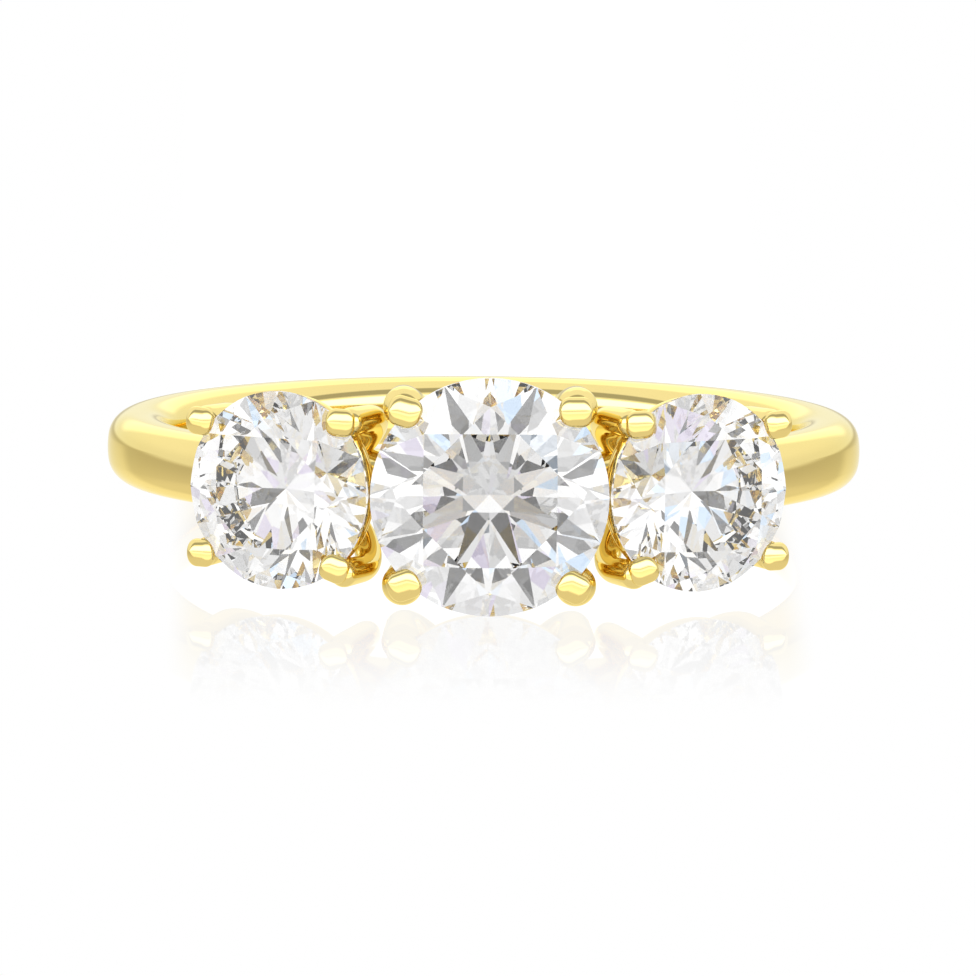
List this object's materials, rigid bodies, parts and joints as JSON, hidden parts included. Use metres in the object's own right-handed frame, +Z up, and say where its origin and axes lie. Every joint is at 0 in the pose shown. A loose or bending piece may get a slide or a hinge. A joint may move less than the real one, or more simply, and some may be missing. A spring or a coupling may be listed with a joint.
{
  "type": "three stone ring",
  "caption": "Polished gold finger ring with a large round brilliant between smaller ones, each held in a claw cup setting, lying on its side.",
  "frame": {"origin": "under the middle of the ring's box, on the surface that the ring lies on", "axes": "+Z up from the surface, -Y towards the head with its stones, +X to the right seen from the head; the ring is the same left and right of X = 0"},
  "size_m": [0.021, 0.0236, 0.0065],
  "materials": {
    "gold": "polished yellow gold",
    "centre_diamond": "polished, clear, high refraction",
    "side_diamond": "polished, clear, faintly warm, high refraction"
  },
  "bodies": {
    "root": {"ring_mount": "gold", "centre_stone": "centre_diamond", "left_stone": "side_diamond", "right_stone": "side_diamond"}
  },
  "joints": []
}
